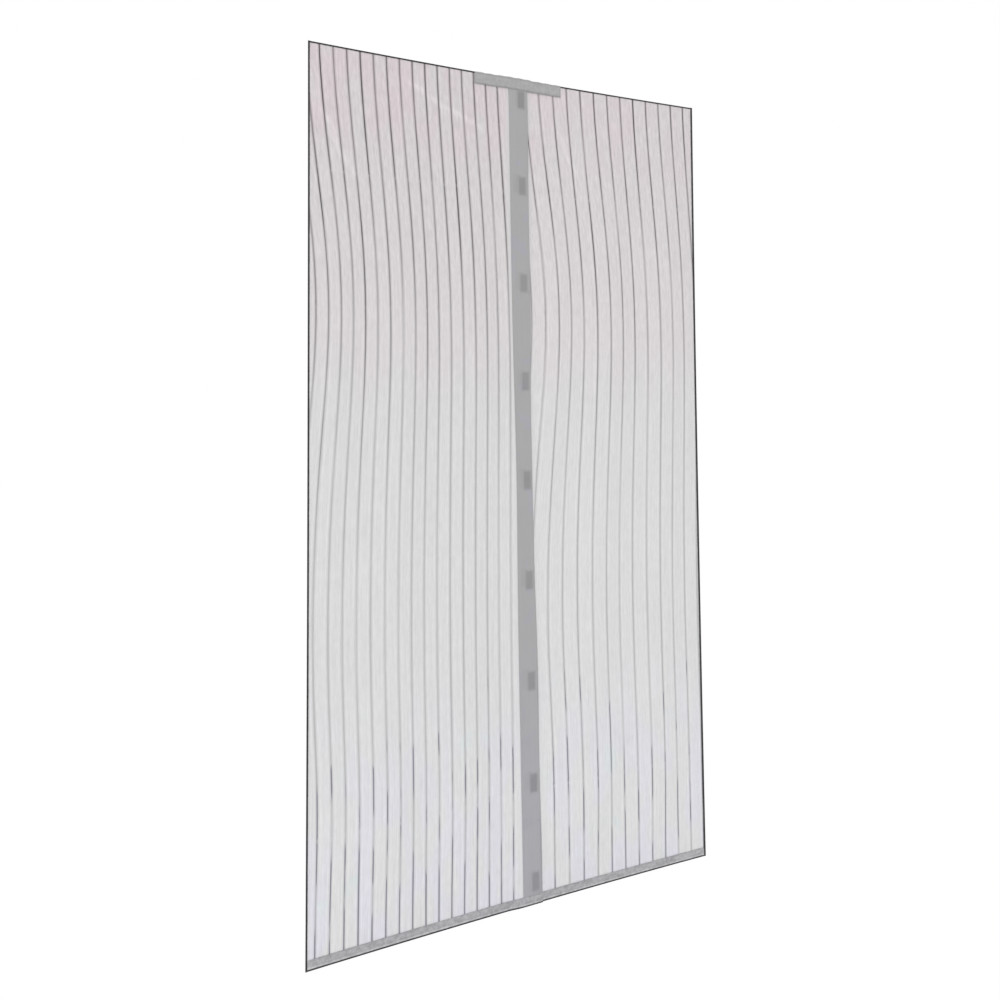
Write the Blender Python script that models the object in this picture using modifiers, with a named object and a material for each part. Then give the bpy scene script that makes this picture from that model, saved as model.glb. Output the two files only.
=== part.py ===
"""Magnetic insect screen for a doorway.

Two panels of striped net hang side by side from a fixing strip across the top of the opening.
Each panel has dark folded bindings on its outer side, top and foot, and a hem tape with a weight in it.
Each panel's inner edge is held in a wide folded tape with magnets in sewn pockets. The left tape laps
in front of the right one and the magnets hold the two together. A band joins the panels at the top.

X runs across, the viewer stands at -Y, and +Z is up. The origin is the middle of the back face of the
top fixing strip, on the wall.
"""

import math
from collections import namedtuple

import bmesh
import bpy

# The whole screen. Between its corners the cloth pulls in: the top dips, the foot rises and the sides
# come in by these lengths at their middles
WIDTH = 1.100
HEIGHT = 2.100
DIP = 0.0045
PULL_LEFT = 0.0015
PULL_RIGHT = 0.0030

# Cloth layers and the clearance between pieces that touch
GAP = 0.0003
NET = 0.0005
YARN = 0.0012
YARN_WIDTH = 0.0044
LEAF = 0.0004
SLEEVE = YARN + 2 * GAP
FOLD = SLEEVE + 2 * LEAF

# Dark folded bindings round the edges. The one down the right side is wider than the others
BINDING_WIDTH = 0.0040
RIGHT_BINDING_WIDTH = 0.0065

# Hem tape along the foot, and the flat weight inside it
HEM_HEIGHT = 0.0230
WEIGHT_LENGTH = 0.200
WEIGHT_HEIGHT = 0.0080
WEIGHT_THICKNESS = 0.0015
WEIGHT_FROM_TAPE = 0.012
HEM_SLEEVE = WEIGHT_THICKNESS + 2 * GAP
HEM_FOLD = HEM_SLEEVE + 2 * LEAF
FOOT_SLEEVE = HEM_FOLD + 2 * GAP

# Hook and loop fixing tapes on the back
FIXING_WIDTH = 0.020
FIXING_INSET = 0.007
FIXING_END = 0.004
HOOK = 0.0010
LOOP = 0.0010
TOP_LOOP_CLEAR = 0.090
SIDE_FIXING_ABOVE_FOOT = 0.045

# Centre tapes, which lean, bow a little and narrow half way down because the screen hangs freely
TAPE_WIDTH = 0.053
TAPE_AT_TOP = -0.0090
TAPE_AT_FOOT = 0.0134
TAPE_BOW = 0.0028
BOW_AT, BOW_SPREAD = 0.42, 0.36
TAPE_WAIST = 0.0045
WAIST_AT, WAIST_SPREAD = 0.49, 0.14
TAPE_EDGE_WAVE = 0.0008
TAPE_EDGE_WAVES = 4.5
TAPE_FOOT_CLEAR = 0.005
TUCK = 0.012
LAP = FOLD + GAP
LAP_RUN = 0.045

# Magnets and their pockets
MAGNETS = 9
MAGNET_WIDTH = 0.020
MAGNET_HEIGHT = 0.046
MAGNET_THICKNESS = 0.0020
MAGNET_CORNER = 0.002
MAGNET_OFFSET = 0.0075
END_MAGNET = 0.056
SECOND_FROM_TOP = 0.283
SECOND_FROM_FOOT = 0.299
POCKET_EASE = 0.0010
POCKET_SLOPE = 0.0015
POCKET_RISE = MAGNET_THICKNESS + 2 * GAP - SLEEVE

# Closure band over the top ends of both panels
BAND_LEFT = -0.130
BAND_RIGHT = 0.117
BAND_HEIGHT = 0.0305
BAND = 0.0008
BAND_RUN = 0.014

# Woven stripes of each panel: how far the first one is from the panel's left edge along the top, their
# pitch, how far the net swings at that edge, and how far across the panel the swing reaches
LEFT_FIRST = 0.0235
LEFT_PITCH = 0.0327
LEFT_CREST = 0.0320
LEFT_TROUGH = 0.0075
LEFT_REBOUND = 0.0070
LEFT_REACH = 0.280
RIGHT_FIRST = 0.0305
RIGHT_PITCH = 0.0424
RIGHT_CREST = 0.0350
RIGHT_TROUGH = 0.0150
RIGHT_REBOUND = 0.0030
RIGHT_REACH = 0.420

# Sway of the stripes: they drift right below the top, and swing at these shares of the height
DRIFT = 0.0295
DRIFT_RISE = 0.21
CREST_AT, CREST_SPREAD = 0.283, 0.18
TROUGH_AT, TROUGH_SPREAD = 0.65, 0.18
REBOUND_AT, REBOUND_SPREAD = 0.83, 0.10

# Shallow folds in the depth of the net
RIPPLE = 0.0070
RIPPLE_LENGTH = 0.190
RIPPLE_TURN = 2.4
RIPPLE_SIDE_FADE = 0.045
RIPPLE_TOP_FADE = 0.500
RIPPLE_FOOT_FADE = 0.250
RIPPLE_START = 0.3
NET_ROWS = 17

# Straight lengths that the edge pieces bend in to follow the pulled-in outline, and to step in depth
RUN_BENDS = 5
SIDE_BENDS = 6
RAMP_BENDS = 8

# Levels and depths that follow from the sizes above
TOP = FIXING_WIDTH / 2 + FIXING_INSET
FOOT = TOP - HEIGHT
SIDE = WIDTH / 2
PLANE = -(HOOK + GAP + LOOP + GAP + FOLD / 2)
NET_TOP = TOP - LEAF - GAP
HEM_FOOT = FOOT + LEAF + GAP
WEIGHT_FOOT = HEM_FOOT + HEM_FOLD / 2
NET_FOOT = WEIGHT_FOOT + WEIGHT_HEIGHT + GAP
LEVELS = [NET_FOOT + (NET_TOP - NET_FOOT) * row / NET_ROWS for row in range(NET_ROWS + 1)]

# One panel's stripes, with the side of the screen that it is on and where its left edge is
Stripes = namedtuple("Stripes", "side edge first pitch crest trough rebound reach")
LEFT = Stripes(
    -1, -SIDE, LEFT_FIRST, LEFT_PITCH, LEFT_CREST, LEFT_TROUGH, LEFT_REBOUND, LEFT_REACH
)
RIGHT = Stripes(
    1,
    TAPE_AT_TOP + TAPE_WIDTH / 2,
    RIGHT_FIRST,
    RIGHT_PITCH,
    RIGHT_CREST,
    RIGHT_TROUGH,
    RIGHT_REBOUND,
    RIGHT_REACH,
)


def clear_scene():
    for obj in list(bpy.data.objects):
        bpy.data.objects.remove(obj, do_unlink=True)


def material(name, color, roughness, metallic=0.0):
    made = bpy.data.materials.new(name)
    made.use_nodes = True
    made.diffuse_color = (*color, 1.0)
    shader = made.node_tree.nodes["Principled BSDF"]
    shader.inputs["Base Color"].default_value = (*color, 1.0)
    shader.inputs["Roughness"].default_value = roughness
    shader.inputs["Metallic"].default_value = metallic
    return made


def add_object(name, mesh, collection, materials):
    obj = bpy.data.objects.new(name, mesh)
    collection.objects.link(obj)
    for each in materials:
        mesh.materials.append(each)
    return obj


def smoothstep(t):
    t = min(max(t, 0.0), 1.0)
    return t * t * (3 - 2 * t)


def fallen(z):
    """How far down the screen a level lies, from 0 at its top edge to 1 at its foot."""
    return (TOP - z) / HEIGHT


def hill(v, middle, spread):
    return math.exp(-(((v - middle) / spread) ** 2))


def tape_line(z):
    """The straight line from top to foot that the centre tapes lean along."""
    return TAPE_AT_TOP + (TAPE_AT_FOOT - TAPE_AT_TOP) * fallen(z)


def tape_middle(z):
    """Where the middle of both centre tapes is at a level: they bow a little to the left of their line."""
    return tape_line(z) - TAPE_BOW * hill(fallen(z), BOW_AT, BOW_SPREAD)


def tape_half(z):
    """Half the width of a centre tape at a level: it narrows to a waist half way down."""
    return TAPE_WIDTH / 2 - TAPE_WAIST * hill(fallen(z), WAIST_AT, WAIST_SPREAD)


def tape_edge(side, z):
    """The edge of a centre tape that takes the net: left edge of the left tape, right edge of the right."""
    return tape_middle(z) + side * tape_half(z)


def net_edges(side, z):
    """Left and right edge of a net at a level: inside the side binding's fold, and tucked into its tape
    along a straight line."""
    return sorted((side * (SIDE - LEAF - GAP), tape_line(z) + side * (TAPE_WIDTH / 2 - TUCK)))


def pulled_in(x, y, z):
    """Where a point of the flat screen hangs: nearer the middle of the screen the top dips and the foot
    rises, and nearer half way down the sides come in."""
    v = fallen(z)
    pull = PULL_LEFT if x < 0 else PULL_RIGHT
    across = 1 - (x / SIDE) ** 2
    return x * (1 - 4 * v * (1 - v) * pull / SIDE), y, z - DIP * across * (1 - 2 * v)


def step_forward(side, x, z):
    """The left panel comes forward in a smooth S before its tape, so that it laps over the right tape."""
    if side > 0:
        return 0.0
    return LAP * smoothstep((x - tape_edge(side, z) + LAP_RUN) / LAP_RUN)


def magnet_levels():
    """One magnet near each end, and the others spread evenly between the second ones."""
    first, last = SECOND_FROM_TOP, HEIGHT - SECOND_FROM_FOOT
    pitch = (last - first) / (MAGNETS - 3)
    drops = [END_MAGNET] + [first + pitch * i for i in range(MAGNETS - 2)] + [HEIGHT - END_MAGNET]
    return [TOP - drop for drop in drops]


def sway(stripes, start, v):
    """Sideways shift of a stripe: a drift that rises below the top, plus a crest, a trough and a rebound
    that are largest at the panel's left edge and die out across it."""
    drift = DRIFT * (1 - math.exp(-((max(v, 0.0) / DRIFT_RISE) ** 1.5)))
    swing = stripes.crest * hill(v, CREST_AT, CREST_SPREAD)
    swing -= stripes.trough * hill(v, TROUGH_AT, TROUGH_SPREAD)
    swing += stripes.rebound * hill(v, REBOUND_AT, REBOUND_SPREAD)
    return drift + swing * math.exp(-(start - stripes.edge) / stripes.reach)


def stripe_starts(stripes):
    """Where the stripes start along the top: as many as it takes for the net to reach past both of its
    edges at every level, however it sways."""

    def where(start, z):
        return start + sway(stripes, start, fallen(z))

    starts = [stripes.edge + stripes.first]
    while any(where(starts[0], z) > net_edges(stripes.side, z)[0] for z in LEVELS):
        starts.insert(0, starts[0] - stripes.pitch)
    while any(where(starts[-1], z) + stripes.pitch / 2 < net_edges(stripes.side, z)[1] for z in LEVELS):
        starts.append(starts[-1] + stripes.pitch)
    return starts


def ripple(stripes, start, x, z):
    """Depth of the shallow folds, which run down with the stripes and flatten out towards each edge."""
    inner = abs(x - tape_edge(stripes.side, z)) / RIPPLE_SIDE_FADE
    outer = (SIDE - abs(x)) / RIPPLE_SIDE_FADE
    above = (NET_TOP - z) / RIPPLE_TOP_FADE
    below = (z - FOOT - HEM_HEIGHT) / RIPPLE_FOOT_FADE
    edges = smoothstep(inner - RIPPLE_START) * smoothstep(outer - RIPPLE_START)
    wave = 0.5 + 0.5 * math.sin(2 * math.pi * start / RIPPLE_LENGTH + RIPPLE_TURN * fallen(z))
    return RIPPLE * wave * edges * smoothstep(above) * smoothstep(below)


def placed_grid(columns, rows, place):
    """An open sheet: a grid whose points go where place(column, row) says. Each point keeps the number
    of its column."""
    sheet = bmesh.new()
    bmesh.ops.create_grid(sheet, x_segments=columns, y_segments=rows, size=1.0)
    number = sheet.verts.layers.int.new("column")
    for vertex in sheet.verts:
        column = round((vertex.co.x + 1) / 2 * columns)
        row = round((vertex.co.y + 1) / 2 * rows)
        vertex[number] = column
        vertex.co = place(column, row)
    return sheet


def finish_sheet(name, sheet, thickness, collection, materials):
    """Hangs an open sheet and turns it into a closed one of even thickness about its middle surface."""
    for vertex in sheet.verts:
        vertex.co = pulled_in(*vertex.co)
    mesh = bpy.data.meshes.new(name)
    sheet.to_mesh(mesh)
    sheet.free()
    obj = add_object(name, mesh, collection, materials)
    wall = obj.modifiers.new("Thickness", "SOLIDIFY")
    wall.thickness = thickness
    wall.offset = 0.0
    wall.use_even_offset = True
    return obj


def net_panel(name, stripes, collection, materials):
    """A net with four columns of points to a stripe: both sides of the yarn, its crown, and the net
    half way to the next one. The net is cut straight at its outer side and along the leaning tape."""
    offsets = (-YARN_WIDTH / 2, 0.0, YARN_WIDTH / 2, stripes.pitch / 2)
    starts = stripe_starts(stripes)
    columns = len(offsets) * len(starts) - 1

    def place(column, row):
        number, part = divmod(column, len(offsets))
        start = starts[number]
        z = LEVELS[row]
        x = start + offsets[part] + sway(stripes, start, fallen(z))
        depth = step_forward(stripes.side, x, z) + ripple(stripes, start + offsets[part], x, z)
        return x, PLANE - depth, z

    sheet = placed_grid(columns, NET_ROWS, place)
    mark_yarns(sheet, len(offsets), offsets.index(0.0))
    outer = stripes.side * (SIDE - LEAF - GAP)
    cut(sheet, (outer, 0, 0), (stripes.side, 0, 0))
    lean = (TAPE_AT_FOOT - TAPE_AT_TOP) / HEIGHT
    tucked = tape_line(TOP) + stripes.side * (TAPE_WIDTH / 2 - TUCK)
    cut(sheet, (tucked, 0, TOP), (-stripes.side, 0, -stripes.side * lean))
    obj = finish_sheet(name, sheet, YARN, collection, materials)
    obj.vertex_groups.new(name="yarn")
    wall = obj.modifiers["Thickness"]
    wall.vertex_group = "yarn"
    wall.thickness_vertex_group = NET / YARN
    return obj


def mark_yarns(sheet, per_stripe, crown):
    """Gives the crown of each yarn its full thickness, and the faces beside it the yarn's colour."""
    weights = sheet.verts.layers.deform.verify()
    number = sheet.verts.layers.int["column"]
    for vertex in sheet.verts:
        vertex[weights][0] = 1.0 if vertex[number] % per_stripe == crown else 0.0
    for face in sheet.faces:
        if any(vertex[weights][0] > 0.5 for vertex in face.verts):
            face.material_index = 1


def cut(sheet, point, normal):
    """Cuts the sheet along a plane and drops what lies on the side that the normal points to."""
    whole = sheet.verts[:] + sheet.edges[:] + sheet.faces[:]
    bmesh.ops.bisect_plane(
        sheet, geom=whole, dist=1e-5, plane_co=point, plane_no=normal, clear_outer=True
    )


def fold_section(depth, height):
    """Middle line of a folded tape as (across its depth, away from its fold), for one leaf, the rounded
    fold and the other leaf. The outside of the fold lies at 0 and its edges at height."""
    half = depth / 2 - LEAF / 2
    turn = min(half, height / 3)
    near = LEAF / 2
    arc = [math.radians(angle) for angle in (30, 60)]
    corner = [(turn * math.cos(a), turn * (1 - math.sin(a))) for a in arc]
    front = [(-half, height), (-half, near + turn)]
    front += [(-half + turn - across, near + away) for across, away in corner]
    middle = [(0.0, near)]
    back = [(-across, away) for across, away in reversed(front)]
    return front + middle + back


def ramp_stations(start, end, ramps):
    """Places along a run: spread evenly, and close together where it changes depth."""
    even = [start + (end - start) * i / RUN_BENDS for i in range(RUN_BENDS + 1)]
    stations = {s for s in even if not any(low < s < high for low, high in ramps)}
    for low, high in ramps:
        stations |= {low + (high - low) * i / RAMP_BENDS for i in range(RAMP_BENDS + 1)}
    return sorted(s for s in stations | {start, end} if start <= s <= end)


def level_fold(name, side, start, end, depth, base, direction, height, collection, materials):
    """A folded tape that runs across the screen, with its fold at base and its leaves running up
    (direction 1) or down (-1). It follows the left panel's step forward."""
    tape = tape_edge(side, base)
    stations = ramp_stations(start, end, [(tape - LAP_RUN, tape)] if side < 0 else [])
    section = fold_section(depth, height)

    def place(column, row):
        x = stations[column]
        across, away = section[row]
        return x, PLANE - step_forward(side, x, base) + across, base + direction * away

    sheet = placed_grid(len(stations) - 1, len(section) - 1, place)
    return finish_sheet(name, sheet, LEAF, collection, materials)


def side_width(side):
    return RIGHT_BINDING_WIDTH if side > 0 else BINDING_WIDTH


def side_binding(name, side, collection, materials):
    """The folded binding down the outer side, the full height of the screen."""
    section = fold_section(FOLD, side_width(side))

    def place(column, row):
        across, away = section[column]
        return side * (SIDE - away), PLANE + across, FOOT + HEIGHT * row / SIDE_BENDS

    sheet = placed_grid(len(section) - 1, SIDE_BENDS, place)
    return finish_sheet(name, sheet, LEAF, collection, materials)


def centre_tape(name, side, collection, materials):
    """The folded tape with the magnet pockets. Its section goes from the net's side along the leaf with
    the pockets, round the free edge and back. The pockets rise towards the viewer on the left tape and
    towards the back on the right one, so that the leaves that meet are flat."""
    free = -side
    half = TAPE_WIDTH / 2
    turn = (FOLD - LEAF) / 2
    near = half - LEAF / 2 - turn
    pocket = MAGNET_WIDTH / 2 + POCKET_EASE
    offsets = [-half]
    offsets += [MAGNET_OFFSET + s for s in (-pocket - POCKET_SLOPE, -pocket, pocket, pocket + POCKET_SLOPE)]
    leaf = [(across, -turn) for across in offsets]
    fold = [(near + turn * math.cos(a), turn * math.sin(a)) for a in fold_angles()]
    section = leaf + fold + [(-half, turn)]
    raised = (2, 3)
    tall = MAGNET_HEIGHT / 2 + POCKET_EASE
    foot = FOOT if side < 0 else FOOT + TAPE_FOOT_CLEAR
    rows = [foot + (LEAF + GAP if side < 0 else 0.0)]
    for level in reversed(magnet_levels()):
        rows += [level + s for s in (-tall - POCKET_SLOPE, -tall, tall, tall + POCKET_SLOPE)]
    rows.append(TOP)

    def place(column, row):
        across, deep = section[column]
        z = rows[row]
        if column in raised and row % 4 in (2, 3):
            deep -= POCKET_RISE
        if column in (0, len(section) - 1):
            across += half - tape_half(z)
        elif column >= len(leaf):
            across -= half - tape_half(z)
            if side < 0:
                across += TAPE_EDGE_WAVE * math.sin(2 * math.pi * TAPE_EDGE_WAVES * fallen(z))
        x = tape_middle(z) + free * across
        return x, PLANE - (LAP if side < 0 else 0.0) - side * deep, z

    sheet = placed_grid(len(section) - 1, len(rows) - 1, place)
    return finish_sheet(name, sheet, LEAF, collection, materials)


def fold_angles():
    """Steps round the half turn of a tape's free edge, from the leaf with the pockets to the flat one."""
    return [math.radians(angle) for angle in (-90, -45, 0, 45, 90)]


def block(name, size, centre, corner, collection, materials):
    """A plain block. Where corner is set, its four corners seen from the front are cut off by that much,
    and it hangs with the cloth round it."""
    body = bmesh.new()
    bmesh.ops.create_cube(body, size=1.0)
    bmesh.ops.scale(body, vec=size, verts=body.verts)
    bmesh.ops.translate(body, vec=centre, verts=body.verts)
    if corner > 0:
        through = [e for e in body.edges if abs((e.verts[0].co - e.verts[1].co).y) > size[1] / 2]
        bmesh.ops.bevel(body, geom=through, offset=corner, segments=1, affect="EDGES", profile=0.5)
        for vertex in body.verts:
            vertex.co = pulled_in(*vertex.co)
    mesh = bpy.data.meshes.new(name)
    body.to_mesh(mesh)
    body.free()
    return add_object(name, mesh, collection, materials)


def strip(name, low, high, collection, materials):
    """A flat strip of fixing tape between two opposite corners."""
    size = [b - a for a, b in zip(low, high)]
    centre = [(a + b) / 2 for a, b in zip(low, high)]
    return block(name, size, centre, 0.0, collection, materials)


def magnets(word, side, collection, materials):
    """The magnets of one tape, each in the middle of its pocket."""
    front = PLANE - (LAP if side < 0 else 0.0)
    size = (MAGNET_WIDTH, MAGNET_THICKNESS, MAGNET_HEIGHT)
    for number, level in enumerate(magnet_levels(), start=1):
        x = tape_middle(level) - side * MAGNET_OFFSET
        y = front + side * POCKET_RISE / 2
        block(f"{word}_magnet_{number}", size, (x, y, level), MAGNET_CORNER, collection, materials)


def hem_weight(name, side, collection, materials):
    """The flat weight in the hem, near the centre tape and clear of the step in the hem."""
    near = tape_edge(side, FOOT) + side * (WEIGHT_FROM_TAPE + (LAP_RUN if side < 0 else 0.0))
    middle = near + side * WEIGHT_LENGTH / 2
    size = (WEIGHT_LENGTH, WEIGHT_THICKNESS, WEIGHT_HEIGHT)
    centre = (middle, PLANE, WEIGHT_FOOT + WEIGHT_HEIGHT / 2)
    return block(name, size, centre, MAGNET_CORNER, collection, materials)


def edge_pieces(word, side, collection, binding, tape):
    """The bindings round one panel and the hem tape along its foot."""
    outer = SIDE - side_width(side) - GAP
    side_binding(f"{word}_side_binding", side, collection, binding)
    past_tape = tape_edge(1, FOOT)
    before_tape = tape_edge(-1, FOOT + HEM_HEIGHT) - GAP
    top_run = sorted((side * outer, tape_edge(side, TOP) + side * GAP))
    hem_run = sorted((side * outer, before_tape if side < 0 else past_tape + GAP))
    foot_run = sorted((side * outer, past_tape if side < 0 else past_tape + GAP))
    level_fold(
        f"{word}_top_binding", side, *top_run, FOLD, TOP, -1, BINDING_WIDTH, collection, binding
    )
    level_fold(
        f"{word}_hem_tape", side, *hem_run, HEM_FOLD, HEM_FOOT, 1, HEM_HEIGHT, collection, tape
    )
    level_fold(
        f"{word}_foot_binding",
        side,
        *foot_run,
        FOOT_SLEEVE + 2 * LEAF,
        FOOT,
        1,
        BINDING_WIDTH,
        collection,
        binding,
    )


def closure_band(name, collection, materials):
    """The band across the top middle. It lies on the left panel, crosses its tape, and steps back down
    to the right panel just past the tape's free edge."""
    tape = tape_edge(-1, TOP)
    free = tape + 2 * tape_half(TOP) + TAPE_EDGE_WAVE + BAND
    stations = ramp_stations(BAND_LEFT, BAND_RIGHT, [(tape - LAP_RUN, tape), (free, free + BAND_RUN)])
    face = PLANE - FOLD / 2 - GAP - BAND / 2

    def place(column, row):
        x = stations[column]
        forward = step_forward(-1, x, TOP) - LAP * smoothstep((x - free) / BAND_RUN)
        return x, face - forward, TOP - BAND_HEIGHT * (1 - row)

    sheet = placed_grid(len(stations) - 1, 1, place)
    return finish_sheet(name, sheet, BAND, collection, materials)


def fixing_tapes(collection, hook, loop):
    """Loop tapes sewn to the back of the panels, and hook tapes on the wall behind them."""
    end = SIDE - FIXING_END
    half = FIXING_WIDTH / 2
    low_end = FOOT + SIDE_FIXING_ABOVE_FOOT
    loop_back, loop_front = -(HOOK + GAP), -(HOOK + GAP + LOOP)
    strip("top_hook_tape", (-end, -HOOK, -half), (end, 0.0, half), collection, hook)
    for word, side in (("left", -1), ("right", 1)):
        clear, outer = sorted((side * TOP_LOOP_CLEAR, side * end))
        strip(
            f"{word}_top_loop_tape",
            (clear, loop_front, -half),
            (outer, loop_back, half),
            collection,
            loop,
        )
        inner, outer = sorted((side * (end - FIXING_WIDTH), side * end))
        strip(
            f"{word}_side_hook_tape",
            (inner, -HOOK, low_end),
            (outer, 0.0, -half - GAP),
            collection,
            hook,
        )
        strip(
            f"{word}_side_loop_tape",
            (inner, loop_front, low_end),
            (outer, loop_back, -half - GAP),
            collection,
            loop,
        )


def main():
    clear_scene()
    collection = bpy.data.collections.new("magnetic_insect_screen")
    bpy.context.scene.collection.children.link(collection)
    net = material("net", (0.69, 0.68, 0.69), 0.75)
    yarn = material("stripe_yarn", (0.12, 0.11, 0.12), 0.7)
    binding = [material("binding", (0.045, 0.045, 0.045), 0.7)]
    tape = [material("tape", (0.39, 0.39, 0.39), 0.65)]
    rubber = [material("magnet_rubber", (0.05, 0.05, 0.05), 0.6)]
    steel = [material("weight_steel", (0.45, 0.45, 0.46), 0.4, 1.0)]
    hook = [material("hook_tape", (0.62, 0.62, 0.62), 0.8)]
    loop = [material("loop_tape", (0.55, 0.55, 0.55), 0.9)]

    for word, stripes in (("left", LEFT), ("right", RIGHT)):
        net_panel(f"{word}_net", stripes, collection, [net, yarn])
        edge_pieces(word, stripes.side, collection, binding, tape)
        centre_tape(f"{word}_centre_tape", stripes.side, collection, tape)
        magnets(word, stripes.side, collection, rubber)
        hem_weight(f"{word}_hem_weight", stripes.side, collection, steel)
    closure_band("closure_band", collection, tape)
    fixing_tapes(collection, hook, loop)


main()
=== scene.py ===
"""Cloth, tapes, thread and finishes of a magnetic insect screen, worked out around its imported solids.

Two striped net panels hang side by side. Their inner edges are held in wide folded tapes with magnets in
sewn pockets, a band joins their tops, a hem runs along each foot and a narrow dark trim goes all round.
X runs across, the viewer stands at -Y and +Z is up. Lengths are in metres.
"""
from collections import namedtuple

import bpy
import numpy as np
from mathutils import Matrix, Vector


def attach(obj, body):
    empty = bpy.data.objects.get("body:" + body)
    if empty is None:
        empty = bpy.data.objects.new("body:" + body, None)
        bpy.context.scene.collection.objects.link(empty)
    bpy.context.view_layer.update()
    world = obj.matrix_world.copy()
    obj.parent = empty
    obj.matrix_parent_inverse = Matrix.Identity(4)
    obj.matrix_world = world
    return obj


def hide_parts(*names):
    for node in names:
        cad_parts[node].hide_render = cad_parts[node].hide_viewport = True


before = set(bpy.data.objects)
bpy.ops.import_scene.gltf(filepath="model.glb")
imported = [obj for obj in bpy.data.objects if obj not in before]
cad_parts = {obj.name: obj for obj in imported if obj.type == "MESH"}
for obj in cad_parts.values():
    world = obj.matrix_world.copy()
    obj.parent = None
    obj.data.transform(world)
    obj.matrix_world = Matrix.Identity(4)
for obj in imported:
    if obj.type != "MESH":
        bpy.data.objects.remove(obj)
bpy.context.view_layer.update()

# Sizes of the screen, the same as in the solids
WIDTH, HEIGHT = 1.100, 2.100
DIP, PULL_LEFT, PULL_RIGHT = 0.0045, 0.0015, 0.0030
GAP = 0.0003
NET = 0.0005
YARN, YARN_WIDTH = 0.0012, 0.0044
LEAF = 0.0004
FOLD = YARN + 2 * GAP + 2 * LEAF
TRIM_WIDTH, RIGHT_TRIM_WIDTH = 0.0040, 0.0065
HEM_HEIGHT = 0.0230
WEIGHT_HEIGHT = 0.0080
HEM_FOLD = 0.0029
FOOT_FOLD = 0.0043
FIXING_WIDTH, FIXING_INSET, FIXING_END = 0.020, 0.007, 0.004
HOOK = LOOP = 0.0010
TOP_LOOP_CLEAR = 0.090
SIDE_FIXING_ABOVE_FOOT = 0.045
TAPE_WIDTH = 0.053
TAPE_AT_TOP, TAPE_AT_FOOT = -0.0090, 0.0134
TAPE_BOW, BOW_AT, BOW_SPREAD = 0.0028, 0.42, 0.36
TAPE_WAIST, WAIST_AT, WAIST_SPREAD = 0.0045, 0.49, 0.14
TAPE_FOOT_CLEAR = 0.005
TUCK = 0.012
LAP, LAP_RUN = FOLD + GAP, 0.045
MAGNET_WIDTH, MAGNET_HEIGHT, MAGNET_THICKNESS = 0.020, 0.046, 0.0020
MAGNET_OFFSET = 0.0075
POCKET_RISE = MAGNET_THICKNESS - YARN
BAND_LEFT, BAND_RIGHT, BAND_HEIGHT, BAND = -0.130, 0.117, 0.0305, 0.0008
BAND_RUN, BAND_RAGGED = 0.014, 0.0009
TOP = FIXING_WIDTH / 2 + FIXING_INSET
FOOT = TOP - HEIGHT
SIDE = WIDTH / 2
PLANE = -(HOOK + GAP + LOOP + GAP + FOLD / 2)
NET_TOP = TOP - LEAF - GAP
HEM_FOOT = FOOT + LEAF + GAP
NET_FOOT = HEM_FOOT + HEM_FOLD / 2 + WEIGHT_HEIGHT + GAP
MAGNET_LEVELS = TOP - np.array([0.056, *np.linspace(0.283, 1.801, 7), 2.044])

# How the weave sways and how deep the net's shallow folds are, as in the solids
DRIFT, DRIFT_RISE = 0.0295, 0.21
CREST_AT, CREST_SPREAD = 0.283, 0.18
TROUGH_AT, TROUGH_SPREAD = 0.65, 0.18
REBOUND_AT, REBOUND_SPREAD = 0.83, 0.10
SWAY_ROUNDS = 9
RIPPLE, RIPPLE_LENGTH, RIPPLE_TURN = 0.0070, 0.190, 2.4
RIPPLE_SIDE_FADE, RIPPLE_TOP_FADE, RIPPLE_FOOT_FADE, RIPPLE_START = 0.045, 0.500, 0.250, 0.3

# Cloth detail that only shows close up
PUCKER, PUCKER_LENGTH, PUCKER_REACH = 0.0006, 0.058, 0.030
GATHER_LENGTH, FLAT_EDGE = 0.037, 0.02
CREASE_DROPS = (0.300, 0.610, 1.210, 1.820)
CREASE_DEPTH, CREASE_SPREAD = 0.0005, 0.006
TAPE_EDGE_WAVE, TAPE_EDGE_WAVES, TAPE_EDGE_WANDER = 0.0008, 4.5, 0.0002
# Painted highlights along a few creases in the net, each a line between two ends
CREASE_HIGHLIGHTS = (  # x and z of one end and of the other
    (-0.332, -0.033, -0.095, -0.142),
    (-0.530, -0.113, -0.430, -0.313),
    (0.098, -0.098, 0.175, -0.233),
)
CREASE_HIGHLIGHT_REACH, CREASE_HIGHLIGHT_FADE = 0.011, 0.045
HEM_STEP, HEM_STEP_AT, HEM_STEP_SOFT = 0.00025, 0.0075, 0.0008
WANDER, TRIM_RUB = 0.00018, 0.0012
POCKET_BORDER, POCKET_STILL = 0.0018, 0.0031
STITCH, STITCH_PITCH, STITCH_THICK = 0.0028, 0.0040, 0.0005

Panel = namedtuple("Panel", "word side edge first pitch crest trough rebound reach")
LEFT = Panel("left", -1, -SIDE, 0.0235, 0.0327, 0.0320, 0.0075, 0.0070, 0.280)
RIGHT = Panel("right", 1, TAPE_AT_TOP + TAPE_WIDTH / 2, 0.0305, 0.0424, 0.0350, 0.0150, 0.0030, 0.420)


# ---------------------------------------------------------------------- where things are


def ease(t):
    """Rises smoothly from 0 to 1: three t squared less two t cubed, with t kept between 0 and 1."""
    t = np.clip(t, 0.0, 1.0)
    return t * t * (3 - 2 * t)


def bell(t):
    """One at t = 0 and falling away on both sides: e to the power of minus t squared."""
    return np.exp(-t * t)


def fallen(z):
    """Share of the height that a level lies below the top edge."""
    return (TOP - z) / HEIGHT


def tape_line(z):
    """The straight line from top to foot that the centre tapes lean along."""
    return TAPE_AT_TOP + (TAPE_AT_FOOT - TAPE_AT_TOP) * fallen(z)


def tape_middle(z):
    """Middle line of both centre tapes: their straight line less a small bow to the left."""
    return tape_line(z) - TAPE_BOW * bell((fallen(z) - BOW_AT) / BOW_SPREAD)


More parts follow.
